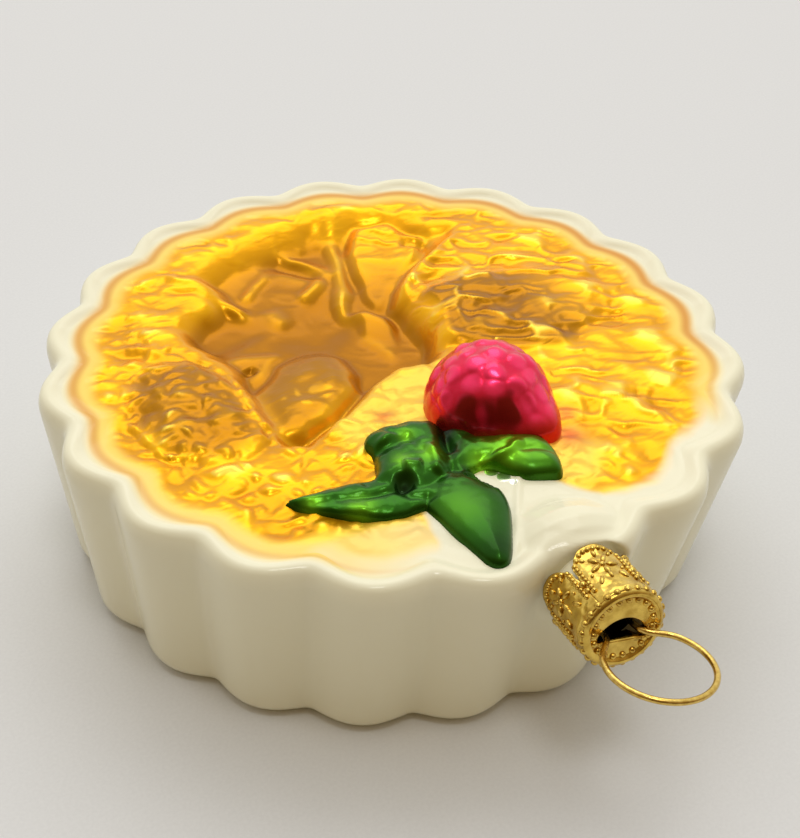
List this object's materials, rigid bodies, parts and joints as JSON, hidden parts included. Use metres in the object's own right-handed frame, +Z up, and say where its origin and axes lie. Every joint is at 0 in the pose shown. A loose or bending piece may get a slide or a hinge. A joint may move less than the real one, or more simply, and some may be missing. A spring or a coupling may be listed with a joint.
{
  "type": "glass tree ornament in the shape of a creme brulee",
  "caption": "Blown-glass ornament: a fluted dish of custard with a cracked golden crust, a raspberry and mint leaves, with a gold crown cap and wire loop at its rim.",
  "frame": {"origin": "centre of the dish's flat base, on the surface it lies on", "axes": "+Z up through the dish, -Y towards the neck with its crown cap and wire loop"},
  "size_m": [0.0821, 0.0996, 0.0323],
  "materials": {
    "white_lacquer": "glossy cream-white lacquer baked on blown glass, opaque",
    "gold_lacquer": "glossy clear yellow lacquer over silvered glass, opaque",
    "red_lacquer": "glossy clear magenta-red lacquer over silvered glass, opaque",
    "green_lacquer": "glossy clear green lacquer over silvered glass, opaque",
    "stamped_brass": "bright gold-coloured stamped sheet",
    "brass_wire": "bright gold-coloured spring wire"
  },
  "bodies": {
    "root": {"glass_body": "white_lacquer", "crown_cap": "stamped_brass", "wire_loop": "brass_wire"}
  },
  "joints": []
}
